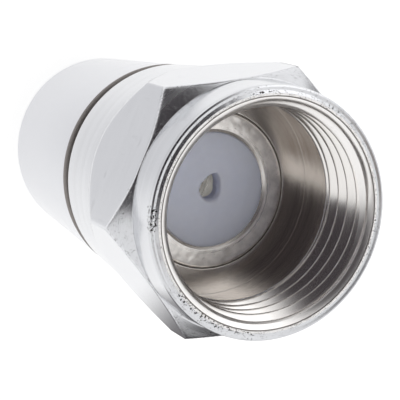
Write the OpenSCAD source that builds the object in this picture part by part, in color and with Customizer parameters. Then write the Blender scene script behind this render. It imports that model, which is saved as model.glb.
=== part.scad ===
// F connector for 7 mm coaxial cable, push-on body with a free-turning coupling nut.
// It stands on its cable end: the origin is the centre of the rear face and +Z is the
// plug axis, towards the mouth of the nut. All sizes are in millimetres.

/* [Overall] */
// Length of the connector, from its rear face to the rim of the nut
overall_length = 19.8; // [19.4:0.1:24]

/* [Coupling nut] */
// Hexagon, across flats
hex_af = 11; // [10.8:0.05:12]
// Length of the nut, from its rim to the end of its skirt
nut_length = 10.5; // [10:0.1:13]
// Diameter of the round nose in front of the hexagon
nose_d = 10.9; // [10.6:0.05:10.9]
// Length of the nose, from the rim to the hexagon's chamfer
nose_length = 1.85; // [1.4:0.05:2.4]
// Width of the bevel on the outside of the rim, across the face
rim_bevel = 0.22; // [0.1:0.01:0.35]
// Length of the same bevel, along the axis
rim_bevel_length = 0.14; // [0.08:0.01:0.3]
// Length of the hexagon's corner edges, between its two turned tapers
hex_land = 1.7; // [1:0.05:2.2]
// Slope of the chamfer in front of the hexagon, from the plug axis
front_slope = 45; // [35:1:55]
// Slope of the taper behind the hexagon, from the plug axis
rear_slope = 20; // [16:1:40]
// Diameter of the skirt where the rear taper runs out
skirt_front_d = 10.95; // [10.6:0.05:11]
// Diameter of the skirt at its open end
skirt_rear_d = 10.35; // [10:0.05:10.6]
// Bore inside the skirt, round the seal
skirt_bore = 8.6; // [8.4:0.05:8.8]
// Thickness of the inner lip that the flange holds
lip_t = 1; // [0.8:0.05:1.2]

/* [Thread end] */
// Tapping bore of the 3/8-32 thread
tap_d = 8.86; // [8.6:0.01:8.9]
// Mouth of the countersink on the rim
mouth_d = 9.92; // [9.6:0.01:10.1]
// Depth of the thread, from the rim
thread_depth = 3.34; // [3:0.02:3.6]
// Bore of the relief behind the thread
relief_d = 9.64; // [9.5:0.02:9.8]
// Height that the flange stands above the floor round it
flange_stand = 0.05; // [0.02:0.01:0.1]

/* [Post] */
// Depth of the post's flange below the rim
flange_depth = 5.95; // [5.7:0.05:6.6]
// Diameter of the flange
flange_d = 7.2; // [7:0.05:7.6]
// Thickness of the flange
flange_t = 0.9; // [0.7:0.05:1.2]
// Diameter of the shank that the nut turns on
shank_d = 6; // [5.9:0.05:6.2]
// Outside diameter of the thin tube that slips under the cable's braid
tube_d = 5.6; // [5.5:0.05:5.7]
// Bore of the post, for the cable's foam core
core_bore = 4.8; // [4.7:0.05:4.9]
// Stepped seat in the mouth of the post, for the guide bead
bead_d = 5.2; // [5.15:0.05:5.3]
// Height of the post's rear end above the rear face
post_setback = 2.4; // [2:0.1:3.2]
// Number of barbs at the end of the tube
barbs = 2; // [1:1:3]
// Length of one barb
barb_length = 1; // [0.8:0.05:1.2]
// Diameter over the barbs
barb_d = 6.1; // [5.9:0.05:6.3]
// Share of a barb's length that its slope takes, up to the shoulder
barb_slope_share = 0.8; // [0.6:0.05:0.9]

/* [Guide bead] */
// Hole for the centre conductor
pin_hole = 1.1; // [1:0.05:1.3]
// Length of the bead
bead_length = 2.6; // [2:0.1:3.2]
// Length of the pin hole, in front of the funnel
pin_hole_length = 0.9; // [0.6:0.1:1.2]
// Wall left round the wide end of the funnel
funnel_wall = 0.25; // [0.2:0.05:0.4]

/* [Body sleeve] */
// Diameter of the sleeve at its front shoulder
sleeve_front_d = 10.25; // [10:0.05:10.5]
// Diameter of the sleeve at its rear face
sleeve_rear_d = 9.1; // [9:0.05:9.6]
// Radius of the rolled edge round the rear face
rear_roll = 0.35; // [0.2:0.05:0.5]
// Length of the hub's collar in front of the round seal
hub_collar_length = 0.83; // [0.7:0.01:0.9]
// Thickness of the shoulder that holds the post
shoulder_t = 0.8; // [0.6:0.05:1.2]
// Bore round the cable jacket and the grip collar
cavity_d = 8.3; // [8.2:0.05:8.4]
// Opening in the rolled rear lip, for the cable
entry_d = 7.3; // [7.2:0.05:7.5]
// Length of the rolled rear lip
lip_length = 1.2; // [1:0.05:1.5]
// Flare of the cable opening
entry_flare = 0.2; // [0.1:0.05:0.25]

/* [Seals and grip] */
// Section of the round seal inside the nut's skirt
seal_section = 0.8; // [0.7:0.02:0.9]
// Diameter of the land that the round seal sits on
seal_land_d = 6.9; // [6.8:0.05:7]
// Wall of the grip collar
collar_wall = 0.34; // [0.3:0.02:0.36]
// Number of gripping teeth inside the collar
collar_teeth = 6; // [3:1:8]
// Height of one tooth
tooth_h = 0.2; // [0.15:0.01:0.25]
// Width of the slit that lets the collar spring
collar_slit = 0.9; // [0.6:0.05:1.4]
// Length of the rubber cable seal
cable_seal_length = 1.4; // [1.1:0.05:1.8]
// Bore of the rubber cable seal
cable_seal_bore = 7; // [6.9:0.05:7.1]
// Height of the cable seal's two rounded ribs
seal_rib_h = 0.15; // [0.1:0.01:0.25]

/* [Clearances] */
// Gap that shows between the nut's skirt and the sleeve
nut_gap = 0.4; // [0.3:0.05:0.6]
// Running clearance of the nut on the post's shank, all round
shank_clearance = 0.05; // [0.03:0.01:0.1]
// Gap round the flange in its seat
flange_clearance = 0.12; // [0.1:0.01:0.25]
// Gap at each side of the nut's inner lip, along the axis
lip_play = 0.1; // [0.06:0.01:0.2]
// Gap round the pieces that sit loose in the sleeve
collar_clearance = 0.03; // [0.02:0.01:0.05]
// Gap between the round seal and the skirt's bore
seal_clearance = 0.05; // [0.03:0.01:0.1]
// Gap round the hub's collars inside the skirt
hub_clearance = 0.3; // [0.2:0.05:0.4]
// Gap between the hub's front face and the nut's inner lip
hub_end_gap = 0.2; // [0.1:0.05:0.3]
// Room on each side of the round seal, along the axis
seal_room = 0.05; // [0.02:0.01:0.1]
// Gap between the pieces stacked inside the sleeve, along the axis
stack_gap = 0.05; // [0.02:0.01:0.1]

/* [Hidden] */

facets = 96;        // circles are true circles at this value
cut = 1;            // how far a cutting solid runs past the face it opens
edge = 0.12;        // small broken edge on turned pieces
roll_steps = 5;     // facets in the rolled rear edge

// Heights above the rear face
z_rim = overall_length;
z_nut_rear = z_rim - nut_length;
z_shoulder = z_nut_rear - nut_gap;
z_flange = z_rim - flange_depth;
z_bead_seat = z_flange - bead_length;

// Hexagon
corner_r = hex_af / 2 / cos(30);
nose_r = nose_d / 2;
skirt_r = skirt_front_d / 2;
z_front_chamfer = z_rim - nose_length;
z_corner_front = z_front_chamfer - (corner_r - nose_r) / tan(front_slope);
z_corner_rear = z_corner_front - hex_land;
z_taper_end = z_corner_rear - (corner_r - skirt_r) / tan(rear_slope);
// The turned outline runs this far outside the corners, so that they stay sharp
outside = 0.3;

// Bore of the nut
tap_r = tap_d / 2;
mouth_r = mouth_d / 2;
seat_r = flange_d / 2 + flange_clearance;
lip_r = shank_d / 2 + shank_clearance;
relief_r = relief_d / 2;
z_thread_end = z_rim - thread_depth;
z_floor = z_flange - flange_stand;
z_lip_front = z_flange - flange_t - lip_play;
z_lip_rear = z_lip_front - lip_t;

// Hub of the sleeve, inside the nut's skirt
hub_r = skirt_bore / 2 - hub_clearance;
z_hub = z_lip_rear - hub_end_gap;
z_seal_top = z_hub - hub_collar_length;
z_seal_bottom = z_seal_top - seal_section - 2 * seal_room;
z_cavity = z_shoulder - shoulder_t;

// Cable seal and grip collar, stacked between the rear lip and the shoulder
inner_r = cavity_d / 2 - collar_clearance;
z_cable_seal = lip_length + stack_gap;
z_collar = z_cable_seal + cable_seal_length + stack_gap;
collar_length = z_cavity - stack_gap - z_collar;

// A body turned about the plug axis from an outline of [radius, height] points
module turned(outline) {
    rotate_extrude($fn = facets) polygon(outline);
}

// Outside of the nut: a hexagonal bar turned down to the nose and the skirt
module nut_blank() {
    front_run = outside / tan(front_slope);
    rear_run = outside / tan(rear_slope);
    intersection() {
        translate([0, 0, z_nut_rear]) cylinder(r = corner_r, h = nut_length, $fn = 6);
        turned([
            [0, z_nut_rear],
            [skirt_rear_d / 2 - edge, z_nut_rear],
            [skirt_rear_d / 2, z_nut_rear + edge],
            [skirt_r, z_taper_end],
            [corner_r, z_corner_rear],
            [corner_r + outside, z_corner_rear + rear_run],
            [corner_r + outside, z_corner_front - front_run],
            [corner_r, z_corner_front],
            [nose_r, z_front_chamfer],
            [nose_r, z_rim - rim_bevel_length],
            [nose_r - rim_bevel, z_rim],
            [0, z_rim]
        ]);
    }
}

// Inside of the nut, from the countersunk mouth to the open skirt
module nut_bore() {
    turned([
        [0, z_rim + cut],
        [mouth_r + cut, z_rim + cut],
        [tap_r, z_rim - (mouth_r - tap_r)],
        [tap_r, z_thread_end],
        [relief_r, z_thread_end - (relief_r - tap_r)],
        [relief_r, z_floor],
        [seat_r, z_floor],
        [seat_r, z_lip_front],
        [lip_r, z_lip_front],
        [lip_r, z_lip_rear],
        [skirt_bore / 2, z_lip_rear],
        [skirt_bore / 2, z_nut_rear + edge],
        [skirt_bore / 2 + edge + cut, z_nut_rear - cut],
        [0, z_nut_rear - cut]
    ]);
}

module coupling_nut() {
    color([0.82, 0.81, 0.80]) difference() {
        nut_blank();
        nut_bore();
    }
}

// Outline of one barb, from its sharp rear edge up to its square shoulder
function barb(i) = let (z = post_setback + i * barb_length)
    let (shoulder = z + barb_length * barb_slope_share)
    [[tube_d / 2, z], [barb_d / 2, shoulder], [tube_d / 2, shoulder]];

module post() {
    wall_tip = 0.08;
    color([0.74, 0.72, 0.70]) turned(concat(
        [[core_bore / 2, post_setback], [core_bore / 2 + wall_tip, post_setback]],
        [for (i = [0 : barbs - 1], p = barb(i)) p],
        [
            [tube_d / 2, z_cavity - edge],
            [shank_d / 2 - edge, z_cavity - edge],
            [shank_d / 2, z_cavity],
            [shank_d / 2, z_flange - flange_t],
            [flange_d / 2, z_flange - flange_t],
            [flange_d / 2, z_flange - edge],
            [flange_d / 2 - edge, z_flange],
            [bead_d / 2 + edge, z_flange],
            [bead_d / 2, z_flange - edge],
            [bead_d / 2, z_bead_seat],
            [core_bore / 2, z_bead_seat]
        ]
    ));
}

// Plastic bead in the mouth of the post, with a funnel that leads the conductor in
module guide_bead() {
    bead_r = bead_d / 2;
    color([0.90, 0.91, 0.93]) turned([
        [pin_hole / 2, z_flange],
        [bead_r - edge, z_flange],
        [bead_r, z_flange - edge],
        [bead_r, z_bead_seat],
        [core_bore / 2 - funnel_wall, z_bead_seat],
        [pin_hole / 2, z_flange - pin_hole_length]
    ]);
}

// Outer sleeve with the hub that carries the post and the round seal
module body_sleeve() {
    rear_r = sleeve_rear_d / 2;
    front_r = sleeve_front_d / 2;
    entry_r = entry_d / 2;
    rolled_edge = [for (i = [0 : roll_steps]) let (turn = 90 * i / roll_steps)
        [rear_r - rear_roll * (1 - sin(turn)), rear_roll * (1 - cos(turn))]];
    color([0.86, 0.86, 0.87]) turned(concat([[entry_r + entry_flare, 0]], rolled_edge, [
        [front_r, z_shoulder - edge],
        [front_r - edge, z_shoulder],
        [hub_r, z_shoulder],
        [hub_r, z_seal_bottom],
        [seal_land_d / 2, z_seal_bottom],
        [seal_land_d / 2, z_seal_top],
        [hub_r, z_seal_top],
        [hub_r, z_hub - edge],
        [hub_r - edge, z_hub],
        [shank_d / 2, z_hub],
        [shank_d / 2, z_cavity],
        [cavity_d / 2, z_cavity],
        [cavity_d / 2, lip_length],
        [entry_r, lip_length],
        [entry_r, entry_flare]
    ]));
}

// Round rubber seal between the hub and the skirt
module nut_seal() {
    color([0.12, 0.12, 0.13]) rotate_extrude($fn = facets)
        translate([seal_land_d / 2 + seal_section / 2, (z_seal_top + z_seal_bottom) / 2])
            circle(d = seal_section, $fn = 32);
}

// Slit plastic collar with teeth that bite the cable jacket
module grip_collar() {
    bore_r = inner_r - collar_wall;
    pitch = collar_length / collar_teeth;
    tooth_foot = 0.4;    // shares of the pitch where a tooth starts and where it is highest
    tooth_crest = 0.7;
    color([0.88, 0.87, 0.83]) difference() {
        turned(concat(
            [[inner_r - edge, z_collar], [inner_r, z_collar + edge],
             [inner_r, z_collar + collar_length - edge], [inner_r - edge, z_collar + collar_length]],
            [for (i = [collar_teeth - 1 : -1 : 0]) let (z = z_collar + i * pitch)
                let (crest = z + pitch * tooth_crest, foot = z + pitch * tooth_foot)
                each [[bore_r, z + pitch], [bore_r - tooth_h, crest], [bore_r, foot]]],
            [[bore_r, z_collar]]
        ));
        translate([0, -collar_slit / 2, z_collar - cut])
            cube([cavity_d, collar_slit, collar_length + 2 * cut]);
    }
}

// Rubber ring that closes on the jacket behind the rolled lip
module cable_seal() {
    bore_r = cable_seal_bore / 2;
    groove_r = bore_r + seal_rib_h;
    crown = cable_seal_length / 4;   // from each end face to the nearer rib's crown
    color([0.13, 0.13, 0.14]) turned([
        [groove_r, z_cable_seal],
        [inner_r, z_cable_seal],
        [inner_r, z_cable_seal + cable_seal_length],
        [groove_r, z_cable_seal + cable_seal_length],
        [bore_r, z_cable_seal + cable_seal_length - crown],
        [groove_r, z_cable_seal + cable_seal_length / 2],
        [bore_r, z_cable_seal + crown]
    ]);
}

coupling_nut();
post();
guide_bead();
body_sleeve();
nut_seal();
grip_collar();
cable_seal();
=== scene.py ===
"""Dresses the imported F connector: threaded nut, post, bead, sleeve, seals, studio and camera.

All sizes are in millimetres unless a name says otherwise. The plug axis is +Z, the rear face
stands on the floor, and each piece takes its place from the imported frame.
"""

import logging
import math
from dataclasses import dataclass, field
from enum import Enum
from typing import Optional, Sequence

import bpy
import numpy as np
from mathutils import Matrix, Vector


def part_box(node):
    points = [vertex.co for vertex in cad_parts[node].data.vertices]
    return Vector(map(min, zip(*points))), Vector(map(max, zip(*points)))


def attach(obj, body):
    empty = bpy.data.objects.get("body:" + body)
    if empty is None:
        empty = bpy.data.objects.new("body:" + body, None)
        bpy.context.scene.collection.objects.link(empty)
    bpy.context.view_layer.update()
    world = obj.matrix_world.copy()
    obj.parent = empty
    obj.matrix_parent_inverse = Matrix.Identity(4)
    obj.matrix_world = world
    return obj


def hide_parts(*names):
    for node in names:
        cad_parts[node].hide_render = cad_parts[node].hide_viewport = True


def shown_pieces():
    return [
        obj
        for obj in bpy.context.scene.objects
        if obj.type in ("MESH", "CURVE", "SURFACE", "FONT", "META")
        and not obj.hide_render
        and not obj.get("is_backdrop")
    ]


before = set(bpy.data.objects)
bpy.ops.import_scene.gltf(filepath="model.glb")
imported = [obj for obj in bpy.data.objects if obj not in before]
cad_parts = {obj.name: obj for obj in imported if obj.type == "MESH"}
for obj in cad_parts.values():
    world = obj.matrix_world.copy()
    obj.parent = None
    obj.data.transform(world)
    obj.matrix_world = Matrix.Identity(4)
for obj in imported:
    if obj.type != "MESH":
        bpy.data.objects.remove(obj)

# Short names for Blender's types
Node, Socket, Tree = bpy.types.Node, bpy.types.NodeSocket, bpy.types.NodeTree
Material, SceneObject = bpy.types.Material, bpy.types.Object

LOG = logging.getLogger("f_connector")
MM = 0.001
FULL_TURN = 2 * math.pi
# Heights and radii closer than this count as the same
SAME = 1e-6
# Edge roundings, from a knife edge to a broad one
KNIFE, CRISP, SHARP, BROKEN, EASED = 0.005, 0.015, 0.02, 0.03, 0.05
SOFT, ROUND, ROLLED, BROAD = 0.08, 0.14, 0.18, 0.3
# The sRGB curve: a straight toe up to the knee and a power above it
SRGB_FULL, SRGB_KNEE, SRGB_TOE, SRGB_OFFSET, SRGB_POWER = 255, 0.04045, 12.92, 0.055, 2.4
# How strong the finer grain is in every noise
GRAIN_SHARE = 0.6
# Sums that a node tree makes of numbers and sockets
MATH = "ShaderNodeMath"
PLUS, MINUS, TIMES = {"operation": "ADD"}, {"operation": "SUBTRACT"}, {"operation": "MULTIPLY"}
TIMES_PLUS, LARGER = {"operation": "MULTIPLY_ADD"}, {"operation": "MAXIMUM"}
UNSIGNED, WRAPPED, ANGLE = {"operation": "ABSOLUTE"}, {"operation": "WRAP"}, {"operation": "ARCTAN2"}
SMOOTH = {"interpolation_type": "SMOOTHSTEP"}
# Inputs and output of a mix of two colours
FIRST_COLOUR, SECOND_COLOUR, MIXED_COLOUR = 6, 7, 2
# Distance of the far cards in metres, and lift of a card off the floor
SKY_RADIUS = 0.4
CARD_LIFT = 0.2


class Body(Enum):
    """The two bodies of the connector that move against each other."""

    CONNECTOR = "connector_body"
    NUT = "nut"


class Slot(Enum):
    """The record's material slots."""

    NUT = "nickel_nut"
    POST = "satin_post"
    BEAD = "white_bead"
    SLEEVE = "nickel_sleeve"
    RUBBER = "black_rubber"
    COLLAR = "ivory_collar"


def linear(hex_colour: str) -> tuple[float, float, float, float]:
    """Turns an sRGB hex colour into linear RGBA.

    Args:
        hex_colour: Six hex digits with a leading hash.

    Returns:
        Red, green, blue and an alpha of 1, all linear.
    """
    channels = [int(hex_colour[i : i + 2], 16) / SRGB_FULL for i in (1, 3, 5)]
    lin = [
        c / SRGB_TOE if c <= SRGB_KNEE else ((c + SRGB_OFFSET) / (1 + SRGB_OFFSET)) ** SRGB_POWER
        for c in channels
    ]
    return (lin[0], lin[1], lin[2], 1.0)


def add_node(
    tree: Tree,
    kind: str,
    settings: Optional[dict] = None,
    links: Optional[dict] = None,
) -> Node:
    """Adds one node, sets its properties and input values, and links its inputs.

    Args:
        tree: The node tree that takes the node.
        kind: Blender's name of the node type.
        settings: Property name, or input name or number, to value.
        links: Input name or number to the output socket that feeds it.

    Returns:
        The new node.
    """
    node = tree.nodes.new(kind)
    for key, value in (settings or {}).items():
        if isinstance(key, str) and hasattr(node, key):
            setattr(node, key, value)
        else:
            node.inputs[key].default_value = value
    for key, socket in (links or {}).items():
        tree.links.new(socket, node.inputs[key])
    return node


def toward(azimuth_deg: float, elevation_deg: float) -> Vector:
    """Unit vector from the connector to a place in the studio; azimuth 0 is at -Y."""
    a, e = math.radians(azimuth_deg), math.radians(elevation_deg)
    return Vector((math.sin(a) * math.cos(e), -math.cos(a) * math.cos(e), math.sin(e)))


# == Outlines and turned meshes ==


@dataclass(frozen=True)
class Corner:
    """One corner of a turned outline: radius, height, rounding, and finish of the run after it."""

    r: float
    z: float
    rounding: float = 0.0
    finish: int = 0


@dataclass(frozen=True)
class Station:
    """One ring of a turned mesh, with the finish of the faces that follow it."""

    r: float
    z: float
    finish: int = 0


def rounded_outline(corners: Sequence[Corner], arc_steps: int = 5) -> list[Station]:
    """Rounds the corners of a closed outline and adds support rings beside each arc.

    Args:
        corners: The outline's corners in order.
        arc_steps: Segments in each rounded corner.

    Returns:
        The stations of the closed outline.
    """
    # Support rings stand close to an arc, on runs that are long enough to need them, and an
    # arc takes no more than a share of each run beside it
    support, long_run, share = 0.03, 0.16, 0.45
    straight = math.radians(89.5)
    count = len(corners)
    runs: list[list[np.ndarray]] = []
    for i, corner in enumerate(corners):
        here = np.array([corner.r, corner.z])
        before = np.array([corners[i - 1].r, corners[i - 1].z]) - here
        after = np.array([corners[(i + 1) % count].r, corners[(i + 1) % count].z]) - here
        u, w = before / np.linalg.norm(before), after / np.linalg.norm(after)
        half = math.acos(float(np.clip(u @ w, -1, 1))) / 2
        if corner.rounding <= 0 or half > straight:
            runs.append([here])
            continue
        reach = min(
            corner.rounding / math.tan(half),
            share * np.linalg.norm(before),
            share * np.linalg.norm(after),
        )
        radius = reach * math.tan(half)
        middle = here + (u + w) / np.linalg.norm(u + w) * (radius / math.sin(half))
        start, end = here + u * reach - middle, here + w * reach - middle
        sweep = math.atan2(start[0] * end[1] - start[1] * end[0], start @ end)
        arc = []
        for k in range(arc_steps + 1):
            a = sweep * k / arc_steps
            turn = np.array([[math.cos(a), -math.sin(a)], [math.sin(a), math.cos(a)]])
            arc.append(middle + turn @ start)
        runs.append(arc)
    stations: list[Station] = []
    for i, run in enumerate(runs):
        finish = corners[i].finish
        stations.extend(Station(float(p[0]), float(p[1]), finish) for p in run)
        gap = runs[(i + 1) % count][0] - run[-1]
        length = float(np.linalg.norm(gap))
        if length > long_run:
            for t in (support / length, 1 - support / length):
                p = run[-1] + gap * t
                stations.append(Station(float(p[0]), float(p[1]), finish))
    return stations


def ring_mesh(
    name: str,
    radius: np.ndarray,
    height: np.ndarray,
    finish: np.ndarray,
    finishes: Sequence[Material],
) -> SceneObject:
    """Makes a closed mesh from rings of points round the plug axis.

    Args:
        name: Name of the new object.
        radius: Rings by columns of radii.
        height: Rings by columns of heights.
        finish: Rings by columns of finish numbers, for the faces that follow each ring.
        finishes: The materials that those numbers stand for.

    Returns:
        The new smooth-shaded object.
    """
    rings, columns = radius.shape
    angle = np.arange(columns) * (FULL_TURN / columns)
    verts = np.stack([radius * np.cos(angle), radius * np.sin(angle), height], axis=-1) * MM
    i, j = np.meshgrid(np.arange(rings), np.arange(columns), indexing="ij")
    i2, j2 = (i + 1) % rings, (j + 1) % columns
    corners = [i * columns + j, i2 * columns + j, i2 * columns + j2, i * columns + j2]
    quads = np.stack(corners, axis=-1).reshape(-1, 4)
    mesh = bpy.data.meshes.new(name)
    mesh.from_pydata(verts.reshape(-1, 3).tolist(), [], quads.tolist())
    for material in finishes:
        mesh.materials.append(material)
    mesh.polygons.foreach_set("material_index", finish.astype(np.int32).ravel())
    mesh.update()
    mesh.shade_smooth()
    obj = bpy.data.objects.new(name, mesh)
    bpy.context.scene.collection.objects.link(obj)
    return obj


def turned_piece(
    name: str,
    corners: Sequence[Corner],
    finishes: Sequence[Material],
    columns: int = 192,
) -> SceneObject:
    """Turns a closed outline round the plug axis.

    Args:
        name: Name of the new object.
        corners: Corners of the outline, going up the outside and down the inside.
        finishes: Materials that the corners' finish numbers stand for.
        columns: Number of points round the axis.

    Returns:
        The new object.
    """
    stations = rounded_outline(corners)
    ones = np.ones((1, columns))
    radius = np.array([[s.r] for s in stations]) * ones
    height = np.array([[s.z] for s in stations]) * ones
    finish = np.array([[s.finish] for s in stations]) * ones
    return ring_mesh(name, radius, height, finish, finishes)


def ease(share: np.ndarray) -> np.ndarray:
    """Turns a straight rise from 0 to 1 into one with soft ends."""
    return share * share * (3 - 2 * share)


def smooth_min(a: np.ndarray, b: np.ndarray, width: float) -> np.ndarray:
    """The smaller of two lengths, with the change between them rounded over a width."""
    near = np.clip(width - np.abs(a - b), 0, None) / width
    return np.minimum(a, b) - near * near * width / 4


def round_noise(angle: np.ndarray, knots: int, seed: int) -> np.ndarray:
    """Smooth seeded noise between -1 and 1 that closes on itself round the axis.

    Args:
        angle: Angles in radians.
        knots: Number of random values round the circle.
        seed: Seed of the random values.

    Returns:
        The noise at each angle.
    """
    values = np.random.default_rng(seed).uniform(-1, 1, knots)
    place = (angle % FULL_TURN) / FULL_TURN * knots
    left = np.floor(place).astype(int)
    t = ease(place - left)
    return values[left % knots] * (1 - t) + values[(left + 1) % knots] * t


# == Finishes ==


@dataclass(frozen=True)
class NickedArc:
    """A stretch of the rim that has been knocked: its middle and reach round and across."""

    angle_deg: float
    half_deg: float
    r: float
    half_width: float
    density: float = 0.5


class NickelTree:
    """Common ground of the nickel finishes: places, noises and bands in one node tree."""

    def __init__(self, name: str) -> None:
        """Starts the material and finds radius, height and angle of each point.

        Args:
            name: Name of the new material.
        """
        self.material = bpy.data.materials.new(name)
        self.material.use_nodes = True
        self.tree = self.material.node_tree
        self.shader = self.tree.nodes["Principled BSDF"]
        self.place = add_node(self.tree, "ShaderNodeTexCoord").outputs["Object"]
        axes = add_node(self.tree, "ShaderNodeSeparateXYZ", links={0: self.place}).outputs
        flat = {0: self.add("ShaderNodeCombineXYZ", {}, axes[0], axes[1])}
        length = add_node(self.tree, "ShaderNodeVectorMath", {"operation": "LENGTH"}, flat)
        self.radius, self.height = length.outputs["Value"], axes[2]
        self.angle = self.add(MATH, ANGLE, axes[1], axes[0])

    def add(self, kind: str, settings: dict, *terms: object) -> Socket:
        """Adds one node to the finish and feeds its first inputs in order.

        Args:
            kind: Blender's name of the node type.
            settings: Properties and input values.
            terms: Numbers or sockets for the first inputs.

        Returns:
            The node's first output.
        """
        numbers = {i: t for i, t in enumerate(terms) if isinstance(t, (int, float))}
        sockets = {i: t for i, t in enumerate(terms) if not isinstance(t, (int, float))}
        return add_node(self.tree, kind, {**settings, **numbers}, sockets).outputs[0]

    def rise(
        self, value: Socket, start: float, end: float, low: float = 0.0, high: float = 1.0
    ) -> Socket:
        """Turns a value's rise from start to end into a smooth rise from low to high.

        Args:
            value: Socket of the value.
            start: Value at which the rise starts.
            end: Value at which it ends.
            low: Result up to the start.
            high: Result from the end on.

        Returns:
            The result's socket.
        """
        limits = {"From Min": start, "From Max": end, "To Min": low, "To Max": high}
        return self.add("ShaderNodeMapRange", {**SMOOTH, **limits}, value)

    def band(self, value: Socket, middle: float, half: float) -> Socket:
        """Mask that is 1 in the middle of a band and 0 outside it.

        Args:
            value: Socket of the value.
            middle: Value at the band's middle.
            half: Half the band's width.

        Returns:
            The mask's socket.
        """
        core_share = 0.4
        away = self.add(MATH, UNSIGNED, self.add(MATH, MINUS, value, middle))
        return self.rise(away, half, half * core_share)

    def grain(
        self, size: float, detail: float = 2.0, stretch: tuple[float, float, float] = (1, 1, 1)
    ) -> Socket:
        """Noise whose grain is about the given size.

        Args:
            size: Grain size, in mm.
            detail: Levels of finer grain on top.
            stretch: How many times longer the grain is along each axis.

        Returns:
            The noise's socket, about 0.5 on average.
        """
        scale = tuple(1 / s for s in stretch)
        place = self.add("ShaderNodeMapping", {"Scale": scale}, self.place)
        settings = {"Scale": 1 / (size * MM), "Detail": detail, "Roughness": GRAIN_SHARE}
        return self.add("ShaderNodeTexNoise", settings, place)

    def lathe_marks(self, pitch: float) -> Socket:
        """Noise that runs round the axis like the marks of a turning tool.

        Args:
            pitch: Distance between marks.

        Returns:
            The noise's socket, about 0.5 on average.
        """
        place = self.add("ShaderNodeCombineXYZ", {}, self.radius, self.height)
        settings = {"Scale": 1 / (pitch * MM), "Detail": 1.0, "Roughness": GRAIN_SHARE}
        return self.add("ShaderNodeTexNoise", settings, place)

    def emboss(self, layers: Sequence[tuple[Socket, float]]) -> None:
        """Raises the surface by each layer's height times its depth.

        Args:
            layers: Pairs of a height's socket and a depth.
        """
        normal = None
        for height, depth in layers:
            links = {"Height": height}
            if normal is not None:
                links["Normal"] = normal
            settings = {"Distance": depth * MM, "Strength": 1.0}
            normal = add_node(self.tree, "ShaderNodeBump", settings, links).outputs[0]
        self.tree.links.new(normal, self.shader.inputs["Normal"])


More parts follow.
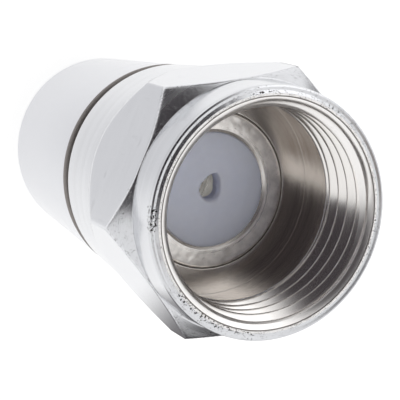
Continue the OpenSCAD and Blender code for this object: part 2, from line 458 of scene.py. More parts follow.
@dataclass(frozen=True)
class NickelPlate:
    """Nickel electroplate on turned brass.

    Bright nickel mirrors its surroundings with a faint warm cast. The copies used inside the bore
    are painted warmer, as painted bounce light. Marks of the turning tool stay under it as
    soft rings, pores show as dark specks, and knocks on the rim as broken dark lines.
    """

    name: str
    colour: str = "#DEDFE2"
    pore_colour: str = "#45403F"
    roughness: float = 0.16
    # Tool marks: the real feed is about 0.05 mm, drawn wider so that it shows
    ring_pitch: float = 0.13
    ring_depth: float = 0.0012
    haze: float = 0.05
    haze_pitch: float = 0.7
    ripple: float = 1.6
    ripple_depth: float = 0.006
    # Pits of the plating bath: really a few hundredths of a millimetre, drawn coarser
    pore: float = 0.07
    pore_share: float = 0.06
    pore_depth: float = 0.004
    scratches: float = 0.0
    # Cloudy patches where the satin skin is thicker or thinner
    mottle: float = 0.0
    mottle_size: float = 0.4
    # Knocks on the rim: where they are, the height they start from and the grain of a chip
    nicks: tuple[NickedArc, ...] = ()
    nick_floor: float = 19.3
    chip: float = 0.09

    def pores(self, kit: NickelTree) -> Socket:
        """Mask of the specks: 1 in a pore, nick or scratch, 0 on sound plate.

        Args:
            kit: The material's node tree.

        Returns:
            The mask's socket.
        """
        patch_growth, patch_swing, sound = 9, 0.24, 0.78
        pore_edge = (-0.015, 0.03)
        grain = kit.grain(self.pore, detail=3.0)
        patch = kit.grain(self.pore * patch_growth, detail=1.0)
        limit = sound - self.pore_share + patch_swing / 2
        uneven = kit.add(MATH, TIMES_PLUS, patch, -patch_swing, limit)
        mask = kit.rise(kit.add(MATH, MINUS, grain, uneven), *pore_edge)
        if self.nicks:
            mask = kit.add(MATH, LARGER, mask, self.chips(kit))
        if self.scratches > 0:
            mask = kit.add(MATH, LARGER, mask, self.scuffs(kit))
        return mask

    def chips(self, kit: NickelTree) -> Socket:
        """Mask of the chips that knocks have left along the rim.

        Args:
            kit: The material's node tree.

        Returns:
            The mask's socket.
        """
        front_fade, gain = 0.2, 0.28
        chip_edge = (0.78, 0.8)
        low, high = self.nick_floor * MM, (self.nick_floor + front_fade) * MM
        front = kit.rise(kit.height, low, high)
        worn: object = 0.0
        for arc in self.nicks:
            turned = kit.add(MATH, MINUS, kit.angle, math.radians(arc.angle_deg))
            wrapped = kit.add(MATH, WRAPPED, turned, math.pi, -math.pi)
            along = kit.band(wrapped, 0.0, math.radians(arc.half_deg))
            across = kit.band(kit.radius, arc.r * MM, arc.half_width * MM)
            near = kit.add(MATH, TIMES, kit.add(MATH, TIMES, along, across), front)
            worn = kit.add(MATH, LARGER, worn, kit.add(MATH, TIMES, near, arc.density))
        grain = kit.grain(self.chip, detail=2.0)
        return kit.rise(kit.add(MATH, TIMES_PLUS, worn, gain, grain), *chip_edge)

    def scuffs(self, kit: NickelTree) -> Socket:
        """Mask of the faint scratches, along the axis and across it.

        Args:
            kit: The material's node tree.

        Returns:
            The mask's socket.
        """
        patch_size = 0.9
        line_edge, patch_edge = (0.70, 0.76), (0.5, 0.62)
        mask: object = 0.0
        # Two sets of scratches: how far each is drawn out along each axis, and its width
        for stretch, width in (((1, 1, 26), 0.05), ((14, 1, 9), 0.06)):
            lines = kit.grain(width, detail=0.0, stretch=stretch)
            where = kit.grain(patch_size, detail=0.0)
            both = kit.add(MATH, TIMES, kit.rise(lines, *line_edge), kit.rise(where, *patch_edge))
            mask = kit.add(MATH, LARGER, mask, kit.add(MATH, TIMES, both, self.scratches))
        return mask

    def build(self) -> Material:
        """Builds the material.

        Returns:
            The new material.
        """
        ring_share = 0.5
        haze_edge, cloud_edge, rough_edge = (0.5, 1.0), (0.3, 0.7), (0.4, 1.1)
        smoother, rougher = 0.8, 1.25
        kit = NickelTree(self.name)
        kit.shader.inputs["Metallic"].default_value = 1.0
        mask = self.pores(kit)
        rings, broad = kit.lathe_marks(self.ring_pitch), kit.lathe_marks(self.haze_pitch)
        veil = kit.add(MATH, PLUS, kit.add(MATH, TIMES, rings, ring_share), broad)
        shade = kit.rise(veil, *haze_edge, 1 - self.haze, 1.0)
        if self.mottle > 0:
            cloud = kit.grain(self.mottle_size, detail=3.0)
            shade = kit.add(MATH, TIMES, shade, kit.rise(cloud, *cloud_edge, 1 - self.mottle, 1.0))
        settings = {"operation": "SCALE", 0: linear(self.colour)[:3]}
        plate = add_node(kit.tree, "ShaderNodeVectorMath", settings, {"Scale": shade})
        settings = {"data_type": "RGBA", SECOND_COLOUR: linear(self.pore_colour)}
        links = {0: mask, FIRST_COLOUR: plate.outputs[0]}
        colour = add_node(kit.tree, "ShaderNodeMix", settings, links)
        kit.tree.links.new(colour.outputs[MIXED_COLOUR], kit.shader.inputs["Base Color"])
        rough = kit.rise(veil, *rough_edge, self.roughness * smoother, self.roughness * rougher)
        kit.tree.links.new(rough, kit.shader.inputs["Roughness"])
        layers = (
            (kit.grain(self.ripple, detail=1.0), self.ripple_depth),
            (rings, self.ring_depth),
            (mask, -self.pore_depth),
        )
        kit.emboss(layers)
        return kit.material


@dataclass(frozen=True)
class MouldedPlastic:
    """Moulded plastic or rubber: a soft sheen over a faintly mottled skin."""

    name: str
    colour: str
    roughness: float
    subsurface: float = 0.0
    scatter: tuple[float, float, float] = (1.0, 0.95, 0.9)
    scatter_depth: float = 0.7
    # Flow marks of the mould, about a third of a millimetre apart
    mottle: float = 0.35
    mottle_depth: float = 0.002
    mottle_tint: float = 0.04

    def build(self) -> Material:
        """Builds the material.

        Returns:
            The new material.
        """
        mat = bpy.data.materials.new(self.name)
        mat.use_nodes = True
        tree = mat.node_tree
        shader = tree.nodes["Principled BSDF"]
        shader.inputs["Roughness"].default_value = self.roughness
        if self.subsurface > 0:
            shader.inputs["Subsurface Weight"].default_value = self.subsurface
            shader.inputs["Subsurface Radius"].default_value = self.scatter
            shader.inputs["Subsurface Scale"].default_value = self.scatter_depth * MM
        place = add_node(tree, "ShaderNodeTexCoord").outputs["Object"]
        settings = {"Scale": 1 / (self.mottle * MM), "Detail": 3.0}
        mottle = add_node(tree, "ShaderNodeTexNoise", settings, {"Vector": place}).outputs[0]
        settings = {"To Min": 1 - self.mottle_tint, "To Max": 1 + self.mottle_tint}
        value = add_node(tree, "ShaderNodeMapRange", settings, {"Value": mottle}).outputs[0]
        settings = {"operation": "SCALE", 0: linear(self.colour)[:3]}
        tint = add_node(tree, "ShaderNodeVectorMath", settings, {"Scale": value})
        tree.links.new(tint.outputs[0], shader.inputs["Base Color"])
        settings = {"Distance": self.mottle_depth * MM, "Strength": 1.0}
        bump = add_node(tree, "ShaderNodeBump", settings, {"Height": mottle})
        tree.links.new(bump.outputs[0], shader.inputs["Normal"])
        return mat


# == Pieces ==


class NutFinish(Enum):
    """Finishes of the nut, in the order of its material slots."""

    DRAWN_FLATS = 0
    TURNED_NOSE = 1
    ROUGH_CHAMFER = 2
    RIM_FACE = 3
    THREAD = 4
    BORE = 5
    LEAD_IN = 6
    # Painted shade on the skirt's inside and rear face and on the fine line round the mouth
    SKIRT_INSIDE = 7


@dataclass
class CouplingNut:
    """The hexagonal coupling nut with its real 3/8-32 thread."""

    nose_d: float = 10.84
    nose_top_d: float = 10.8
    nose_base_d: float = 10.9
    nose_length: float = 1.85
    nose_groove: float = 0.05
    face_outer_d: float = 10.16
    bevel_d: float = 10.42
    bevel_fall: float = 0.07
    nose_fall: float = 0.21
    burr_d: float = 10.64
    burr_fall: float = 0.03
    hex_land: float = 1.7
    front_slope: float = 45.0
    rear_slope: float = 20.0
    skirt_front_d: float = 10.95
    skirt_rear_d: float = 10.35
    skirt_bore: float = 8.6
    tap_d: float = 8.86
    mouth_d: float = 9.9
    countersink_d: float = 9.5
    countersink_depth: float = 0.08
    lead_in_depth: float = 0.56
    line_width: float = 0.05
    line_depth: float = 0.035
    line_lip_share: float = 0.4
    relief_d: float = 9.64
    relief_chamfer: float = 0.39
    floor_depth: float = 6.0
    seat_d: float = 7.25
    lip_bore: float = 6.1
    lip_front_depth: float = 6.95
    lip_t: float = 1.0
    thread_major_d: float = 9.53
    thread_pitch: float = 0.794
    thread_start: float = 0.934
    thread_end_depth: float = 3.34
    thread_end_slope: float = 1.2
    crest_share: float = 0.02
    root_share: float = 0.125
    round_share: float = 0.5
    skirt_gap: float = 0.1
    edge_softness: float = 0.05
    columns: int = 312
    first_row: float = 0.03
    hex_row: float = 0.07
    thread_row: float = 0.03
    dent_seed: int = 7
    top: float = field(init=False)
    bottom: float = field(init=False)
    flat: float = field(init=False)
    corner: float = field(init=False)
    z_nose: float = field(init=False)
    z_corner_rear: float = field(init=False)
    z_skirt: float = field(init=False)

    def __post_init__(self) -> None:
        """Takes the nut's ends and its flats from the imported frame."""
        low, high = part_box("coupling_nut")
        self.top, self.bottom = high.z / MM, low.z / MM
        self.flat = high.y / MM
        self.corner = self.flat / math.cos(math.pi / 6)
        front_run = (self.corner - self.nose_base_d / 2) / math.tan(math.radians(self.front_slope))
        rear_run = (self.corner - self.skirt_front_d / 2) / math.tan(math.radians(self.rear_slope))
        self.z_nose = self.top - self.nose_length
        self.z_corner_rear = self.z_nose - front_run - self.hex_land
        self.z_skirt = self.z_corner_rear - rear_run

    def hex_radius(self, angle: np.ndarray) -> np.ndarray:
        """Distance from the axis to the hexagon's flats at each angle."""
        sixth = math.pi / 3
        return self.flat / np.cos((angle % sixth) - sixth / 2)

    def turned_radius(self, z: float) -> float:
        """Radius of the turned bar at a height on the hexagon.

        Args:
            z: Height.

        Returns:
            The radius of the front chamfer or the rear taper, whichever is smaller.
        """
        front = self.nose_base_d / 2 + (self.z_nose - z) * math.tan(math.radians(self.front_slope))
        rear = self.corner + (z - self.z_corner_rear) * math.tan(math.radians(self.rear_slope))
        return min(front, rear)

    def thread_radius(self, angle: np.ndarray, z: float) -> np.ndarray:
        """Radius of the right-hand internal thread.

        Args:
            angle: Angle round the axis, in radians.
            z: Height.

        Returns:
            The wall's radius at each angle.
        """
        depth = (self.thread_major_d - self.tap_d) / 2
        turn = angle / FULL_TURN
        phase = ((z - self.top + self.thread_start) / self.thread_pitch - turn) % 1.0
        flank = (1 - self.crest_share - self.root_share) / 2
        rise = np.clip((np.abs(phase - 1 / 2) - self.root_share / 2) / flank, 0, 1)
        rise = ease(rise) * self.round_share + rise * (1 - self.round_share)
        return self.tap_d / 2 + depth * (1 - rise)

    def outline(self) -> list[Corner]:
        """Corners of the outline, out over the rim, down the outside and up the bore.

        Returns:
            The corners of the closed outline.
        """
        top, bottom = self.top, self.bottom + self.skirt_gap
        mouth, tap, seat = self.mouth_d / 2, self.tap_d / 2, self.seat_d / 2
        nose, burr, face = self.nose_d / 2, self.burr_d / 2, self.face_outer_d / 2
        z_step, z_lip = top - self.floor_depth, top - self.lip_front_depth
        z_relief, relief = top - self.thread_end_depth, self.relief_d / 2
        z_floor = z_lip - self.lip_t
        turned, rim = NutFinish.TURNED_NOSE.value, NutFinish.RIM_FACE.value
        rough, bore = NutFinish.ROUGH_CHAMFER.value, NutFinish.BORE.value
        # skirt holds the painted shade finish, used on the skirt's inside and rear face and on the
        # line round the mouth
        thread, skirt = NutFinish.THREAD.value, NutFinish.SKIRT_INSIDE.value
        line = self.line_width
        return [
            Corner(mouth + line / 2, top, KNIFE, rim),
            Corner(face, top, BROKEN, rough),
            Corner(self.bevel_d / 2, top - self.bevel_fall, CRISP, rough),
            Corner(burr, top - self.burr_fall, SHARP, rough),
            Corner(self.nose_top_d / 2, top - self.bevel_fall, SHARP, turned),
            Corner(nose, top - self.nose_fall, EASED, turned),
            Corner(self.nose_base_d / 2, self.z_nose + self.nose_groove, SHARP, turned),
            Corner(self.skirt_front_d / 2, self.z_skirt, BROAD, turned),
            # The skirt's rear face, its bore and the shelf above it take the painted shade finish
            Corner(self.skirt_rear_d / 2, bottom, ROLLED, skirt),
            Corner(self.skirt_bore / 2, bottom, SOFT, skirt),
            Corner(self.skirt_bore / 2, z_floor, EASED, skirt),
            Corner(self.lip_bore / 2, z_floor, EASED, bore),
            Corner(self.lip_bore / 2, z_lip, EASED, bore),
            Corner(seat, z_lip, EASED, bore),
            Corner(seat, z_step, SHARP, bore),
            Corner(relief, z_step, CRISP, bore),
            Corner(relief, z_relief - self.relief_chamfer, EASED, bore),
            Corner(tap, z_relief, 0.0, thread),
            Corner(tap, top - self.lead_in_depth, 0.0, thread),
            Corner(self.countersink_d / 2, top - self.countersink_depth, CRISP, thread),
            # The fine line round the mouth takes the painted shade finish
            Corner(mouth - line / 2, top - self.line_depth * self.line_lip_share, KNIFE, skirt),
            Corner(mouth, top - self.line_depth, KNIFE, skirt),
        ]

    def rings(self) -> tuple[np.ndarray, np.ndarray, np.ndarray]:
        """Places all the rings, in the outline's order.

        Returns:
            Radii, heights and finishes, each with one row for a ring.
        """
        angle = np.arange(self.columns) * (FULL_TURN / self.columns)
        tap = self.tap_d / 2
        thread_low = self.top - self.thread_end_depth
        radii, heights, finishes = [], [], []

        def add(r: object, z: float, finish: object) -> None:
            """Adds one ring.

            Args:
                r: One radius, or one for each column.
                z: Height.
                finish: One finish number, or one for each column.
            """
            radii.append(r * np.ones(self.columns))
            heights.append(z * np.ones(self.columns))
            finishes.append(finish * np.ones(self.columns))

        done_hex = done_thread = False
        for s in rounded_outline(self.outline()):
            on_tap = abs(s.r - tap) < SAME
            # Half-way between the wall of the relief and the outside of the skirt
            outside = s.r > (self.relief_d + self.skirt_rear_d) / 4
            if outside and self.z_skirt < s.z < self.z_nose:
                continue
            if s.z > thread_low + SAME and (on_tap or s.finish == NutFinish.THREAD.value):
                continue
            if outside and s.z <= self.z_skirt and not done_hex:
                done_hex = True
                # A fine tool groove parts the nose from the hexagon's front chamfer
                groove = self.nose_base_d / 2 - self.nose_groove
                add(groove, self.z_nose, NutFinish.ROUGH_CHAMFER.value)
                for z in np.arange(self.z_nose - self.first_row, self.z_skirt, -self.hex_row):
                    add(*self.hex_ring(angle, z))
            if not on_tap:
                add(s.r, s.z, s.finish)
            elif not done_thread:
                done_thread = True
                add(tap, s.z, s.finish)
                rim_low = self.top - self.countersink_depth - self.thread_row
                for z in np.arange(thread_low + self.thread_row, rim_low, self.thread_row):
                    add(*self.thread_ring(angle, z))
        radius, height = self.wear(angle, np.array(radii), np.array(heights))
        return radius, height, np.array(finishes)

    def hex_ring(self, angle: np.ndarray, z: float) -> tuple[np.ndarray, float, np.ndarray]:
        """One ring where the milled flats cut into the turned bar.

        Args:
            angle: Angle of each column.
            z: Height.

        Returns:
            Radii, height and finishes of the ring.
        """
        hexagon = self.hex_radius(angle)
        bar = self.turned_radius(z) * np.ones(self.columns)
        skin = NutFinish.ROUGH_CHAMFER if z > self.z_corner_rear else NutFinish.TURNED_NOSE
        finish = np.where(hexagon < bar, NutFinish.DRAWN_FLATS.value, skin.value)
        return smooth_min(bar, hexagon, self.edge_softness), z, finish

    def thread_ring(self, angle: np.ndarray, z: float) -> tuple[np.ndarray, float, int]:
        """One ring of the thread, between its run-out and the lead-in cone.

        Args:
            angle: Angle of each column.
            z: Height.

        Returns:
            Radii, height and finish of the ring.
        """
        tap = self.tap_d / 2
        thread_low = self.top - self.thread_end_depth
        thread_high = self.top - self.lead_in_depth
        lead_rise = self.countersink_d / 2 - tap
        lead_length = self.lead_in_depth - self.countersink_depth
        sink = tap + lead_rise * (z - thread_high) / lead_length
        end = tap + (z - thread_low) * self.thread_end_slope
        wall = np.maximum(np.minimum(self.thread_radius(angle, z), end), sink)
        wall = np.minimum(wall, self.countersink_d / 2)
        skin = NutFinish.LEAD_IN if z > thread_high else NutFinish.THREAD
        return wall, z, skin.value

    def wear(
        self, angle: np.ndarray, radius: np.ndarray, height: np.ndarray
    ) -> tuple[np.ndarray, np.ndarray]:
        """Small dents where the rim's outer edge has been knocked.

        Args:
            angle: Angle of each column.
            radius: Radii of all rings.
            height: Heights of all rings.

        Returns:
            The worn radii and heights.
        """
        reach_down, fade_down, reach_across = 0.3, 0.15, 0.22
        patches, dents, sparing = 40, 170, 0.3
        dent_in, dent_down = 0.04, 0.03
        edge = self.face_outer_d / 2
        near = np.clip((height - (self.top - reach_down)) / fade_down, 0, 1)
        near = near * np.clip(1 - np.abs(radius - edge) / reach_across, 0, 1)
        coarse = round_noise(angle, patches, self.dent_seed)
        fine = round_noise(angle, dents, self.dent_seed + 1)
        nick = np.clip(fine - sparing, 0, 1) * np.clip(coarse + sparing, 0, 1)
        return radius - near * nick * dent_in, height - near * nick * dent_down

    def build(self, finishes: Sequence[Material]) -> SceneObject:
        """Builds the nut, dresses it and puts it on its body.

        Args:
            finishes: One material for each NutFinish, in order.

        Returns:
            The nut.
        """
        radius, height, finish = self.rings()
        nut = ring_mesh("threaded_coupling_nut", radius, height, finish, finishes)
        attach(nut, Body.NUT.value)
        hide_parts("coupling_nut")
        return nut


@dataclass
class Post:
    """The flanged, barbed post that carries the nut."""

    flange_d: float = 7.2
    flange_t: float = 0.9
    shank_d: float = 6.0
    tube_d: float = 5.6
    core_bore: float = 4.8
    bead_d: float = 5.2
    bead_length: float = 2.6
    mouth_bevel: float = 0.15
    bevel_fall: float = 0.1
    barb_d: float = 6.1
    barb_length: float = 1.0
    barb_slope_share: float = 0.8
    barbs: int = 2
    tip_wall: float = 0.08
    shank_end: float = 8.1
    shank_chamfer: float = 0.12
    press_gap: float = 0.01

    def build(self, finishes: Sequence[Material]) -> SceneObject:
        """Builds the post, dresses it and puts it on its body.

        Args:
            finishes: The post's finish and that of the bevel round its mouth.

        Returns:
            The post.
        """
        low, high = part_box("post")
        top, bottom = high.z / MM, low.z / MM
        tube, shank, flange = self.tube_d / 2, self.shank_d / 2, self.flange_d / 2
        bore, bead = self.core_bore / 2, self.bead_d / 2
        seat = bead + self.press_gap
        corners = [Corner(bore, bottom, SHARP), Corner(bore + self.tip_wall, bottom, SHARP)]
        for i in range(self.barbs):
            foot = bottom + i * self.barb_length
            shoulder = foot + self.barb_length * self.barb_slope_share
            if i:
                corners.append(Corner(tube, foot, BROKEN))
            corners += [Corner(self.barb_d / 2, shoulder, BROKEN), Corner(tube, shoulder, BROKEN)]
        corners += [
            Corner(tube, self.shank_end - self.shank_chamfer, SHARP),
            Corner(shank, self.shank_end, EASED),
            Corner(shank, top - self.flange_t, BROKEN),
            Corner(flange, top - self.flange_t, EASED),
            Corner(flange, top, ROUND),
            Corner(bead + self.mouth_bevel, top, BROKEN, 1),
            Corner(seat, top - self.bevel_fall, KNIFE * 2),
            Corner(seat, top - self.bead_length, SHARP),
            Corner(bore, top - self.bead_length, SHARP),
        ]
        post = turned_piece("flanged_post", corners, finishes)
        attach(post, Body.CONNECTOR.value)
        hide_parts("post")
        return post


@dataclass
class GuideBead:
    """The translucent bead whose small tear-shaped hole leads the conductor in."""

    diameter: float = 5.2
    hole_d: float = 0.86
    tear_height: float = 0.32
    tear_angle_deg: float = 182.0
    tear_half_deg: float = 55.0
    tear_point: float = 1.2
    tear_fade: float = 3.0
    hole_flare: float = 0.12
    flare_depth: float = 0.26
    throat_rounding: float = 0.12
    funnel_d: float = 4.3
    hole_length: float = 0.7
    crown: float = 0.06
    crown_share: float = 0.7
    crown_rounding: float = 0.8
    columns: int = 160

    def build(self, finish: Material) -> SceneObject:
        """Builds the bead, dresses it and puts it on its body.

        Args:
            finish: The bead's plastic.

        Returns:
            The bead.
        """
        low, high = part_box("guide_bead")
        top, bottom = high.z / MM, low.z / MM
        hole, rim = self.hole_d / 2, self.diameter / 2
        corners = [
            Corner(hole + self.hole_flare, top, ROUND),
            Corner(hole, top - self.flare_depth, self.throat_rounding),
            Corner(hole, top - self.hole_length, EASED),
            Corner(self.funnel_d / 2, bottom, EASED),
            Corner(rim, bottom, EASED),
            Corner(rim, top - self.crown, EASED),
            Corner(rim * self.crown_share, top, self.crown_rounding),
        ]
        stations = rounded_outline(corners)
        ones = np.ones((1, self.columns))
        angle = np.arange(self.columns) * (FULL_TURN / self.columns)
        off = (np.degrees(angle) - self.tear_angle_deg + 180) % 360 - 180
        tear = np.clip(1 - np.abs(off) / self.tear_half_deg, 0, 1) ** self.tear_point
        radius = np.array([[s.r] for s in stations]) * ones
        share = np.clip((rim - radius) / (rim - hole), 0, 1) ** self.tear_fade
        radius = radius + share * (self.tear_height * tear)
        height = np.array([[s.z] for s in stations]) * ones
        bead = ring_mesh("guide_bead_moulding", radius, height, 0 * height, [finish])
        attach(bead, Body.CONNECTOR.value)
        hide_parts("guide_bead")
        return bead


@dataclass
class BodySleeve:
    """The smooth rear sleeve and the hub inside the nut's skirt."""

    front_d: float = 10.25
    rear_d: float = 9.1
    rear_roll: float = 0.35
    front_roll: float = 0.22
    shoulder: float = 8.9
    hub_d: float = 8.0
    hub_roll: float = 0.1
    land_d: float = 6.9
    seal_bottom: float = 9.92
    seal_top: float = 10.82
    shank_d: float = 6.0
    cavity_d: float = 8.3
    cavity_top: float = 8.1
    entry_d: float = 7.3
    entry_flare: float = 0.2
    lip_length: float = 1.2
    press_gap: float = 0.01
    rear_turn_in: float = 0.02

    def build(self, finishes: Sequence[Material]) -> SceneObject:
        """Builds the sleeve, dresses it and puts it on its body.

        Args:
            finishes: The outside's finish and the darker finish that paints shade into the groove
                behind the nut.

        Returns:
            The sleeve.
        """
        low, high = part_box("body_sleeve")
        top, bottom = high.z / MM, low.z / MM
        hub, land, bore = self.hub_d / 2, self.land_d / 2, self.shank_d / 2 + self.press_gap
        corners = [
            Corner(self.entry_d / 2, bottom, self.entry_flare),
            Corner(self.rear_d / 2 - self.rear_turn_in, bottom, self.rear_roll),
            # Finish 1, on the shoulder, hub and seal land of the groove, is the painted shade
            Corner(self.front_d / 2, self.shoulder, self.front_roll, 1),
            Corner(hub, self.shoulder, EASED, 1),
            Corner(hub, self.seal_bottom, EASED, 1),
            Corner(land, self.seal_bottom, EASED, 1),
            Corner(land, self.seal_top, EASED, 1),
            Corner(hub, self.seal_top, EASED, 1),
            Corner(hub, top, self.hub_roll),
            Corner(bore, top, EASED),
            Corner(bore, self.cavity_top, BROKEN),
            Corner(self.cavity_d / 2, self.cavity_top, EASED),
            Corner(self.cavity_d / 2, self.lip_length, EASED),
            Corner(self.entry_d / 2, self.lip_length, EASED),
        ]
        sleeve = turned_piece("rear_body_sleeve", corners, finishes)
        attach(sleeve, Body.CONNECTOR.value)
        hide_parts("body_sleeve")
        return sleeve


def dress_cad_node(node: str, finish: Material) -> None:
    """Gives a carried-over CAD node its finish.

    Args:
        node: Name of the node.
        finish: Its material.
    """
    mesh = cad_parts[node].data
    mesh.materials.clear()
    mesh.materials.append(finish)


# == Studio ==


@dataclass(frozen=True)
class StudioCard:
    """A soft-edged studio card that only mirror-like surfaces see.

    The corners run round the card from its bottom left. The soft shares are the parts of its
    width or height over which its left, right, bottom and top sides fade to clear.
    """

    name: str
    corners: tuple[Vector, Vector, Vector, Vector]
    colour: str
    strength: float = 1.0
    curved: bool = True
    lights_matt: bool = False
    soft: tuple[float, float, float, float] = (0.2, 0.2, 0.2, 0.2)
    steps: int = 24

    def point(self, u: float, v: float) -> Vector:
        """Finds a place on the card.

        Args:
            u: Share of the card's width.
            v: Share of its height.

        Returns:
            The place, in metres.
        """
        low = self.corners[0].lerp(self.corners[1], u)
        place = low.lerp(self.corners[3].lerp(self.corners[2], u), v)
        return place.normalized() * self.corners[0].length if self.curved else place

    def build(self) -> SceneObject:
        """Builds the card as a grid of faces between its four corners.

        Returns:
            The card.
        """
        n = self.steps
        shares = [(i % (n + 1) / n, i // (n + 1) / n) for i in range((n + 1) ** 2)]
        starts = [j * (n + 1) + i for j in range(n) for i in range(n)]
        faces = [(k, k + 1, k + n + 2, k + n + 1) for k in starts]
        mesh = bpy.data.meshes.new(self.name)
        mesh.from_pydata([self.point(u, v) for u, v in shares], [], faces)
        layer = mesh.uv_layers.new(name="shares")
        for loop in mesh.loops:
            layer.data[loop.index].uv = shares[loop.vertex_index]
        mesh.materials.append(self.cloth())
        card = bpy.data.objects.new(self.name, mesh)
        bpy.context.scene.collection.objects.link(card)
        card.visible_camera = False
        card.visible_diffuse = self.lights_matt
        card.visible_shadow = False
        card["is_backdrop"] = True
        return card

    def cloth(self) -> Material:
        """Plain cloth that fades to clear along the card's sides.

        Returns:
            The new material.
        """
        mat = bpy.data.materials.new(self.name + "_cloth")
        mat.use_nodes = True
        tree = mat.node_tree
        tree.nodes.clear()
        place = add_node(tree, "ShaderNodeTexCoord").outputs["UV"]
        shares = add_node(tree, "ShaderNodeSeparateXYZ", links={0: place}).outputs
        left, right, bottom, top = self.soft
        sides = (
            (shares[0], 0.0, left),
            (shares[0], 1.0, 1 - right),
            (shares[1], 0.0, bottom),
            (shares[1], 1.0, 1 - top),
        )
        fade = None
        for share, edge, full in sides:
            settings = {**SMOOTH, "From Min": edge, "From Max": full}
            side = add_node(tree, "ShaderNodeMapRange", settings, {"Value": share}).outputs[0]
            if fade is not None:
                links = {0: fade, 1: side}
                side = add_node(tree, MATH, TIMES, links).outputs[0]
            fade = side
        clear = add_node(tree, "ShaderNodeBsdfTransparent")
        settings = {"Color": linear(self.colour), "Strength": self.strength}
        face = add_node(tree, "ShaderNodeEmission", settings)
        links = {0: fade, 1: clear.outputs[0], 2: face.outputs[0]}
        mix = add_node(tree, "ShaderNodeMixShader", links=links)
        add_node(tree, "ShaderNodeOutputMaterial", links={"Surface": mix.outputs[0]})
        return mat


def sky_card(*places: tuple[float, float]) -> tuple[Vector, ...]:
    """Corners of a card hung round the connector, from pairs of azimuth and elevation."""
    return tuple(toward(azimuth, elevation) * SKY_RADIUS for azimuth, elevation in places)


def upright_card(
    azimuths: tuple[float, float], distance: float, heights: tuple[float, float]
) -> tuple[Vector, ...]:
    """Corners of a card that stands near the connector.

    Args:
        azimuths: Where its two upright sides stand.
        distance: How far they stand from the axis.
        heights: Heights of its lower and upper sides.

    Returns:
        The four corners, in metres.
    """
    feet = [toward(azimuth, 0) * distance * MM for azimuth in azimuths]
    low, high = (Vector((0, 0, height)) * MM for height in heights)
    return (feet[0] + low, feet[1] + low, feet[1] + high, feet[0] + high)


def table_card(*places: tuple[float, float]) -> tuple[Vector, ...]:
    """Corners of a card that lies on the floor, from pairs of x and y in mm."""
    return tuple(Vector((x, y, CARD_LIFT)) * MM for x, y in places)


@dataclass
class Studio:
    """A pale floor, a white surround, soft cards and the camera."""

    floor_size: float = 1.2
    floor_colour: str = "#E8E8E8"
    floor_glow_share: float = 0.6
    floor_glow: float = 1.42
    surround_colour: str = "#FFFFFF"
    surround_strength: float = 1.2
    aim_mm: tuple[float, float, float] = (0.62, 1.33, 10.65)
    azimuth_deg: float = -0.9
    elevation_deg: float = 63.07
    roll_deg: float = 113.2
    distance_mm: float = 75.0
    lens_mm: float = 144.0
    sensor_mm: float = 36.0
    near_clip: float = 0.001
    far_clip: float = 10.0

    def seen(self, tree: Tree) -> Socket:
        """1 for rays from the camera, from gloss and through glass, 0 for other light.

        Args:
            tree: The node tree that takes the nodes.

        Returns:
            The result's socket.
        """
        path = add_node(tree, "ShaderNodeLightPath").outputs
        pair = {0: path["Is Camera Ray"], 1: path["Is Glossy Ray"]}
        either = add_node(tree, MATH, LARGER, pair).outputs[0]
        pair = {0: either, 1: path["Is Transmission Ray"]}
        return add_node(tree, MATH, LARGER, pair).outputs[0]

    def build_floor(self) -> None:
        """A wide pale floor that shows white and keeps a soft shadow."""
        half = self.floor_size / 2
        corners = [(-half, -half, 0), (half, -half, 0), (half, half, 0), (-half, half, 0)]
        mesh = bpy.data.meshes.new("floor")
        mesh.from_pydata(corners, [], [(0, 1, 2, 3)])
        floor = bpy.data.objects.new("floor", mesh)
        bpy.context.scene.collection.objects.link(floor)
        mat = bpy.data.materials.new("matt_painted_floor")
        mat.use_nodes = True
        tree = mat.node_tree
        tree.nodes.clear()
        settings = {**TIMES, 1: self.floor_glow_share}
        share = add_node(tree, MATH, settings, {0: self.seen(tree)})
        paint = add_node(tree, "ShaderNodeBsdfDiffuse", {"Color": linear(self.floor_colour)})
        glow = add_node(tree, "ShaderNodeEmission", {"Strength": self.floor_glow})
        links = {0: share.outputs[0], 1: paint.outputs[0], 2: glow.outputs[0]}
        mix = add_node(tree, "ShaderNodeMixShader", links=links)
        add_node(tree, "ShaderNodeOutputMaterial", links={"Surface": mix.outputs[0]})
        mesh.materials.append(mat)
        floor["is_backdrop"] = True

    def build_surround(self) -> None:
        """White surround that lights evenly and shows white to the camera and the metal."""
        world = bpy.data.worlds.new("white_surround")
        world.use_nodes = True
        bpy.context.scene.world = world
        tree = world.node_tree
        tree.nodes.clear()
        settings = {"To Min": self.surround_strength, "To Max": 1.0}
        level = add_node(tree, "ShaderNodeMapRange", settings, {"Value": self.seen(tree)})
        light = add_node(tree, "ShaderNodeBackground", {"Color": linear(self.surround_colour)})
        tree.links.new(level.outputs[0], light.inputs["Strength"])
        add_node(tree, "ShaderNodeOutputWorld", links={"Surface": light.outputs[0]})

    def build_camera(self) -> None:
        """Aims the camera into the mouth of the nut."""
        back = toward(self.azimuth_deg, self.elevation_deg)
        data = bpy.data.cameras.new("camera")
        data.sensor_width = self.sensor_mm
        data.lens = self.lens_mm
        data.clip_start, data.clip_end = self.near_clip, self.far_clip
        camera = bpy.data.objects.new("camera", data)
        bpy.context.scene.collection.objects.link(camera)
        level = (-back).to_track_quat("-Z", "Y").to_matrix().to_4x4()
        roll = Matrix.Rotation(math.radians(self.roll_deg), 4, "Z")
        place = Matrix.Translation((Vector(self.aim_mm) + back * self.distance_mm) * MM)
        camera.matrix_world = place @ level @ roll
        bpy.context.scene.camera = camera

    def build(self) -> None:
        """Builds the whole studio."""
        self.build_surround()
        self.build_floor()
        for card in STUDIO_CARDS:
            card.build()
        self.build_camera()
        bpy.context.scene.view_settings.view_transform = "Standard"


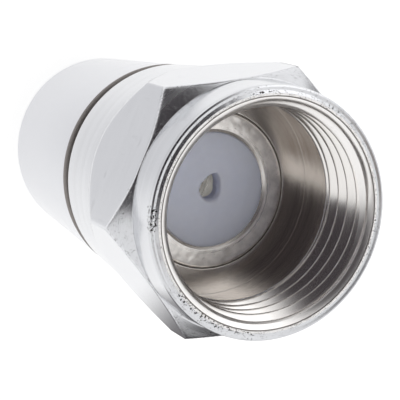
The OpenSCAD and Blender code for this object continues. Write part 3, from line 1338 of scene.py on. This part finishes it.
STUDIO_CARDS = (
    # Large dark cloth in front and overhead: darkens the bore, the bead and the sides facing it
    StudioCard(
        "front_flag",
        sky_card((-72, -2), (33, -2), (80, 80), (-125, 72)),
        "#403C3F",
        lights_matt=True,
        soft=(0.3, 0.05, 0.2, 0.12),
    ),
    # Warm grey board on the right: the warm patch at the bore's far side and the rim beside it
    StudioCard(
        "warm_card",
        sky_card((60, 46), (152, 46), (166, 78), (56, 78)),
        "#80766F",
        soft=(0.25, 0.4, 0.2, 0.3),
    ),
    # Narrow dark flags beside the connector: small dark streaks round the front chamfer
    StudioCard(
        "left_flag",
        upright_card((-84, -50), 60, (0.5, 23)),
        "#3A3638",
        curved=False,
        soft=(0.2, 0.5, 0.2, 0.2),
    ),
    StudioCard(
        "far_flag",
        upright_card((98, 142), 50, (0.5, 19)),
        "#2E2B2D",
        curved=False,
        soft=(0.2, 0.2, 0.05, 0.2),
    ),
    StudioCard("side_flag", upright_card((-118, -132), 50, (3, 13.5)), "#3A3638", curved=False),
    # Soft box on the left: the bright bands on the rim and low in the thread and bore
    StudioCard(
        "side_softbox",
        sky_card((-80, 12), (-130, 12), (-130, 62), (-88, 62)),
        "#FFFFFF",
        strength=1.5,
    ),
    # Pale paper on the table in front: the grey of the front flat, its chamfer and the sleeve
    StudioCard(
        "grey_paper",
        table_card((-34, -75), (12, -75), (10, -4), (-16, -4)),
        "#E8E8EA",
        curved=False,
        soft=(0.35, 0.35, 0.3, 0.1),
    ),
    # Small dark paper behind: the dark edges at one corner of the hexagon
    StudioCard(
        "small_paper",
        table_card((-3, 11.5), (25, -7), (80, 22), (46, 54)),
        "#7C7A7C",
        curved=False,
        soft=(0.2, 0.2, 0.07, 0.05),
    ),
    # Shade under the plug: what shows through the bore of the bead
    StudioCard(
        "shade_underneath",
        table_card((-2.5, -2.5), (2.5, -2.5), (2.5, 2.5), (-2.5, 2.5)),
        "#6A6A66",
        curved=False,
        soft=(0.02, 0.02, 0.02, 0.02),
    ),
)


# == The connector's own finishes ==

# Where the rim has been knocked: angle, half its length, radius, half its width, density
RIM_NICKS = (
    NickedArc(207.0, 15.0, 5.13, 0.08, 0.75),
    NickedArc(165.0, 26.0, 5.16, 0.14, 0.56),
    NickedArc(292.0, 9.0, 5.28, 0.24, 1.0),
    NickedArc(352.0, 42.0, 5.06, 0.22, 0.8),
    NickedArc(98.0, 16.0, 5.05, 0.2, 0.72),
)


NUT_PLATES = {
    # Drawn bar: nearly a mirror, with a few faint scratches
    NutFinish.DRAWN_FLATS: NickelPlate(
        "nickel_on_drawn_brass_flats", haze=0.03, pore_share=0.0, scratches=0.08
    ),
    # Turned nose and skirt: a mirror crossed by soft rings
    NutFinish.TURNED_NOSE: NickelPlate(
        "nickel_on_turned_brass_nose", haze=0.1, pore_share=0.0, nicks=RIM_NICKS
    ),
    # Chamfers left as they came off the tool: greyer, with scattered pits
    NutFinish.ROUGH_CHAMFER: NickelPlate(
        "nickel_on_rough_turned_brass", roughness=0.24, pore=0.05, pore_share=0.14, nicks=RIM_NICKS
    ),
    # Faced rim that rubs on things: pale, matt and speckled
    NutFinish.RIM_FACE: NickelPlate(
        "nickel_on_faced_brass_rim",
        colour="#F6F4F3",
        roughness=0.3,
        pore=0.045,
        pore_share=0.2,
        nicks=RIM_NICKS,
    ),
    # Thread, bore and lead-in: softer than the outside, and copies of the plate with painted bounce
    # light, warmer than the outside plate; the thread and lead-in copies are painted lighter as well
    NutFinish.THREAD: NickelPlate(
        "bounce_lit_nickel_on_tapped_brass_thread", colour="#F2EFEC", roughness=0.2, pore_share=0.0
    ),
    NutFinish.BORE: NickelPlate(
        "bounce_lit_nickel_on_bored_brass", colour="#E2DDD8", roughness=0.2, pore_share=-0.1
    ),
    NutFinish.LEAD_IN: NickelPlate(
        "bounce_lit_nickel_on_countersunk_brass", colour="#FCFAF8", roughness=0.3, pore=0.05
    ),
    # Painted shade: a dull grey copy of the plate on the inside and rear face of the skirt and on
    # the fine line round the mouth
    NutFinish.SKIRT_INSIDE: NickelPlate(
        "painted_shade_nickel_in_skirt", colour="#9A9592", roughness=0.5
    ),
}
# Satin plate over turned brass: cloudy, with soft uneven reflections
POST_SATIN = NickelPlate(
    "satin_nickel_on_brass_post",
    colour="#F8F4F0",
    roughness=0.28,
    ripple=0.5,
    ripple_depth=0.025,
    mottle=0.2,
)
# The bevel cut round the post's mouth: the same plate, a thin even highlight
POST_BEVEL = NickelPlate("bevelled_nickel_on_brass_post", colour="#F8F4F0", roughness=0.3)
# Sleeve turned, then polished before plating: smooth, with hardly a tool mark
SLEEVE_SMOOTH = NickelPlate(
    "smooth_nickel_on_turned_brass",
    colour="#DADBDF",
    haze=0.02,
    ring_depth=0.0004,
    pore_share=-0.1,
)
# Painted shade: a darker, rougher copy of the plate on the groove behind the nut, so that the groove
# stays dark as if in shadow
SLEEVE_GROOVE_SHADE = NickelPlate("painted_shade_nickel_in_groove", colour="#A6A19E", roughness=0.6)
# Natural polythene: a white with a painted cool tint for the cool light in the shade of the bore; it
# lets light in and blurs its own edges
BEAD_POLYTHENE = MouldedPlastic("moulded_natural_polythene", "#E5E9FE", 0.42, subsurface=0.6)
# Nitrile rubber: near black with a low sheen
SEAL_NITRILE = MouldedPlastic("moulded_black_nitrile", "#1E1D1F", 0.55)
# Acetal: an ivory plastic with a slight gloss
COLLAR_ACETAL = MouldedPlastic("moulded_acetal", "#DDD8CB", 0.4)


def main() -> None:
    """Builds every piece and reports its face count."""
    logging.basicConfig(level=logging.INFO)
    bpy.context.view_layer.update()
    CouplingNut().build([NUT_PLATES[finish].build() for finish in NutFinish])
    Post().build([POST_SATIN.build(), POST_BEVEL.build()])
    GuideBead().build(BEAD_POLYTHENE.build())
    BodySleeve().build([SLEEVE_SMOOTH.build(), SLEEVE_GROOVE_SHADE.build()])
    rubber = SEAL_NITRILE.build()
    dress_cad_node("nut_seal", rubber)
    dress_cad_node("cable_seal", rubber)
    dress_cad_node("grip_collar", COLLAR_ACETAL.build())
    Studio().build()
    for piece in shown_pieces():
        LOG.info("%s: %d faces", piece.name, len(piece.data.polygons))


if __name__ == "__main__":
    main()
